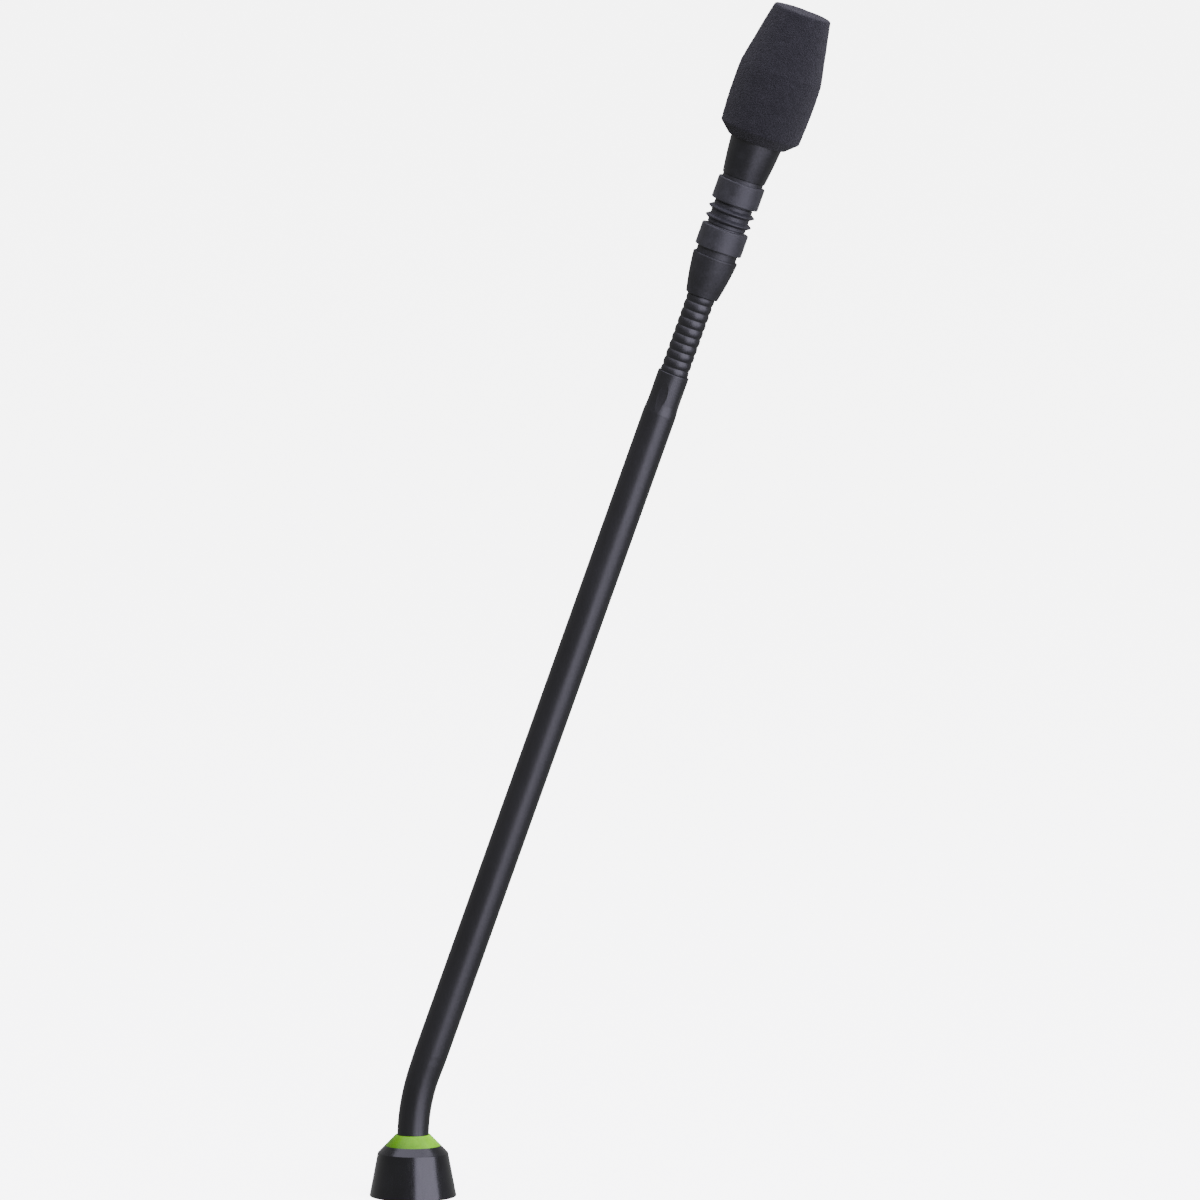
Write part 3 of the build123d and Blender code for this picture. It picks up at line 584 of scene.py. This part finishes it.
wire_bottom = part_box("wire")[0].z
collar_floor = reach("lower_collar")[1]
head_start = reach("head_insert")[0]
straight_wire("wire_base", upright_line, wire_bottom, bend_bottom.z + wire_lower[0], "base")
straight_wire("wire_stem", stem_line, wire_lower[-1] - bend_length, wire_upper[0], "stem")
straight_wire("wire_neck", stem_line, wire_upper[-1], collar_floor, "neck")
straight_wire("wire_head", stem_line, head_start, reach("wire")[1], "head")


# ---------------------------------------------------------------- rubber webs either side of the bush

WEB_WAIST = 0.1 * MM            # how much thinner a web is at its middle
WEB_THICKNESS = 1.2 * MM
WEB_RINGS = 8


def soft_web(name, node):
    """Short rubber neck between a collar and the bush, a little hollow at its middle."""
    bottom, top, radius = reach(node)
    middle = (bottom + top) / 2
    marks = [bottom + (top - bottom) * ring / WEB_RINGS for ring in range(WEB_RINGS + 1)]
    span = top - bottom
    outline = [
        (mark, radius - WEB_WAIST * math.cos(math.pi * (mark - middle) / span)) for mark in marks
    ]
    outline += [(mark, radius - WEB_THICKNESS) for mark in reversed(marks)]
    piece = turned_mesh(name, stem_line, outline, 96)
    paint(piece, materials["rubber_dark"])
    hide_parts(node)
    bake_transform(piece)


soft_web("soft_web_lower", "lower_web")
soft_web("soft_web_upper", "upper_web")

# ---------------------------------------------------------------- foam windscreen

FOAM_SEGMENTS = 240
FOAM_STEP = 0.36 * MM           # size of the foam mesh's faces
FOAM_COARSE = 0.16 * MM         # height of the foam's soft unevenness
FOAM_FINE = 0.1 * MM            # height of its cells
BEVEL_HEIGHT = 3.2 * MM
HEADROOM = 0.4 * MM             # between the grille and the top of the foam's pocket
TAPER_START = 22.6 * MM
BELLY_STEPS = 12
FOAM_END_SHARE = 0.69           # radii as shares of the CAD windscreen's largest
BEVEL_SHARE = 0.962
BELLY_SHARE = 0.99
FOOT_ROUNDING = 0.3 * MM
BEVEL_ROUNDING = 0.8 * MM
BELLY_ROUNDING = 3 * MM
TOP_ROUNDING = 0.9 * MM
POCKET_ROUNDING = 0.5 * MM
POCKET_CLEARANCE = 0.1 * MM     # around the cartridge
AXIS_HOLE = 0.02 * MM           # radius of the fine hole where the foam closes on its axis
SMOOTH_MARGIN = 0.2 * MM        # the foam stays smooth this far outside the pocket
SOFT_SCALE = 220                # per metre: how closely the unevenness, cells and grain repeat
CELL_SCALE = 1500
GRAIN_SCALE = 1300
CELL_SHARE = 0.4                # of the cells in the fine height; the rest is grain

foam_bottom, foam_top, foam_radius = reach("windscreen")
grille_top = reach("front_grille")[1]
pocket_top = grille_top + HEADROOM
pocket_radius = reach("cartridge_body")[2] + POCKET_CLEARANCE
foam_end_radius = foam_radius * FOAM_END_SHARE
bevel_radius = foam_radius * BEVEL_SHARE
belly_radius = foam_radius * BELLY_SHARE


def divided(points, step):
    """The same path with points no further apart than step."""
    path = []
    for (h1, r1), (h2, r2) in zip(points, points[1:]):
        count = max(1, math.ceil(math.hypot(h2 - h1, r2 - r1) / step))
        path += [(h1 + (h2 - h1) * k / count, r1 + (r2 - r1) * k / count) for k in range(count)]
    return path + [points[-1]]


def belly(share):
    """Height and radius on the foam's bulging side, from the bevel to where the taper starts."""
    height = BEVEL_HEIGHT + (TAPER_START - BEVEL_HEIGHT) * share
    bulge = (foam_radius - (bevel_radius + belly_radius) / 2) * 4 * share * (1 - share)
    return foam_bottom + height, bevel_radius + (belly_radius - bevel_radius) * share + bulge


foam_corners = rounded([
    (foam_bottom, pocket_radius, 0),
    (foam_bottom, foam_end_radius, FOOT_ROUNDING),
    (foam_bottom + BEVEL_HEIGHT, bevel_radius, BEVEL_ROUNDING),
    *[(*belly(step / BELLY_STEPS), 0) for step in range(1, BELLY_STEPS)],
    (foam_bottom + TAPER_START, belly_radius, BELLY_ROUNDING),
    (foam_top, foam_end_radius, TOP_ROUNDING),
    (foam_top, AXIS_HOLE, 0),
    (pocket_top, AXIS_HOLE, 0),
    (pocket_top, pocket_radius, POCKET_ROUNDING),
])
foam_outline = divided(foam_corners + foam_corners[:1], FOAM_STEP)[:-1]
windscreen = turned_mesh("foam_windscreen", stem_line, foam_outline, FOAM_SEGMENTS)


def roughen(piece, coarse, fine, clear_radius):
    """Move the outside of a foam piece along its normals by soft unevenness and small cells."""
    mesh = piece.data
    places = [vertex.co.copy() for vertex in mesh.vertices]
    normals = [element.vector.copy() for element in mesh.vertex_normals]
    moved = []
    for place, normal in zip(places, normals):
        height = height_on_stem(place)
        radius = (place - stem_foot - stem_up * height).length
        depth = 0.0
        if radius > clear_radius or height > pocket_top + MM:
            soft = noise.noise(place * SOFT_SCALE) * 0.5 + 0.5
            cells = noise.cell(place * CELL_SCALE)
            grain = noise.noise(place * GRAIN_SCALE) * 0.5 + 0.5
            pores = CELL_SHARE * cells + (1 - CELL_SHARE) * grain
            depth = coarse * soft + fine * pores - (coarse + fine) / 2
        moved.extend(place - normal * depth)
    mesh.vertices.foreach_set("co", moved)
    mesh.update()


roughen(windscreen, FOAM_COARSE, FOAM_FINE, pocket_radius + SMOOTH_MARGIN)
smooth(windscreen, 180)
paint(windscreen, materials["foam"])
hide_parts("windscreen")
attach(windscreen, "windscreen")

# ---------------------------------------------------------------- floor, light and camera

FLOOR_REACH = 12.0              # metres, as are the places and sizes of the lights
FLOOR_GLOW = 5.8
BACKDROP_LIGHT = 0.4            # how strongly the backdrop lights the pieces
BACKDROP_SEEN = 6.5             # how bright the camera sees it
LIGHT_COLOUR = (1.0, 0.95, 1.22)
WINDOW_PLACE = (1.12, -1.28, 0.45)
WINDOW_SIZE = (2.3, 1.9)
WINDOW_POWER = 60               # watts
OVERHEAD_PLACE = (0.1, -0.3, 1.6)
OVERHEAD_SIZE = (2.4, 2.4)
OVERHEAD_POWER = 44

low, high = first_bounds
middle = (low + high) / 2


def box_of_light(name, place, size, power, aim):
    """Soft rectangular light aimed at a point."""
    data = bpy.data.lights.new(name, "AREA")
    data.shape = "RECTANGLE"
    data.size, data.size_y = size
    data.energy = power
    data.color = LIGHT_COLOUR
    lamp = bpy.data.objects.new(name, data)
    bpy.context.scene.collection.objects.link(lamp)
    lamp.location = place
    lamp.rotation_euler = (Vector(aim) - Vector(place)).to_track_quat("-Z", "Y").to_euler()
    return lamp


def plain_sheet(name, corners, colour, glow):
    """Flat pale sheet that the black pieces don't mirror."""
    mesh = bpy.data.meshes.new(name)
    mesh.from_pydata(corners, [], [(0, 1, 2, 3)])
    sheet = bpy.data.objects.new(name, mesh)
    bpy.context.scene.collection.objects.link(sheet)
    shader = Shader(name)
    cloud = shader.noise(3, 2)
    shader.set(base_color=shader.blend(shader.spread(cloud, 0, 1), colour, grey(colour[0] * 0.99)))
    shader.set(roughness=0.9, specular=0.1, emission_color=(1, 1, 1, 1), emission_strength=glow)
    mesh.materials.append(shader.material)
    return sheet


floor = plain_sheet(
    "floor",
    [
        (-FLOOR_REACH, -FLOOR_REACH, low.z),
        (FLOOR_REACH, -FLOOR_REACH, low.z),
        (FLOOR_REACH, FLOOR_REACH, low.z),
        (-FLOOR_REACH, FLOOR_REACH, low.z),
    ],
    grey(0.9), FLOOR_GLOW,
)
floor.visible_glossy = False
floor.visible_diffuse = False

world = bpy.data.worlds.new("studio")
world.use_nodes = True
backdrop = world.node_tree.nodes["Background"]
bpy.context.scene.world = world


def pale_for_the_camera(tree, background):
    """World that is pale where the camera sees it and dim as a light."""
    path = tree.nodes.new("ShaderNodeLightPath")
    strength = tree.nodes.new("ShaderNodeMapRange")
    tree.links.new(path.outputs["Is Camera Ray"], strength.inputs["Value"])
    strength.inputs["To Min"].default_value = BACKDROP_LIGHT
    strength.inputs["To Max"].default_value = BACKDROP_SEEN
    tree.links.new(strength.outputs["Result"], background.inputs["Strength"])
    background.inputs["Color"].default_value = (1, 1, 1, 1)


pale_for_the_camera(world.node_tree, backdrop)

VIEW_HEIGHT = math.radians(7.2)
CAMERA_LENS = 800
CAMERA_SENSOR = 36
FRAME_WIDTH = 0.366
FRAME_SHIFT = Vector((0.3, 0.3)) * MM       # of the picture's middle, right and up from the object's middle
view_back = Vector((0, -math.cos(VIEW_HEIGHT), math.sin(VIEW_HEIGHT)))
camera_target = Vector((middle.x + FRAME_SHIFT.x, 0, middle.z + FRAME_SHIFT.y))
camera_distance = FRAME_WIDTH * CAMERA_LENS / CAMERA_SENSOR

camera_data = bpy.data.cameras.new("camera")
camera_data.lens = CAMERA_LENS
camera_data.sensor_width = CAMERA_SENSOR
camera_data.clip_end = 50
camera = bpy.data.objects.new("camera", camera_data)
bpy.context.scene.collection.objects.link(camera)
camera.location = camera_target + view_back * camera_distance
camera.rotation_euler = (-view_back).to_track_quat("-Z", "Y").to_euler()
bpy.context.scene.camera = camera

aim = (middle.x, 0, middle.z)
box_of_light("window", WINDOW_PLACE, WINDOW_SIZE, WINDOW_POWER, aim)
box_of_light("overhead", OVERHEAD_PLACE, OVERHEAD_SIZE, OVERHEAD_POWER, aim)
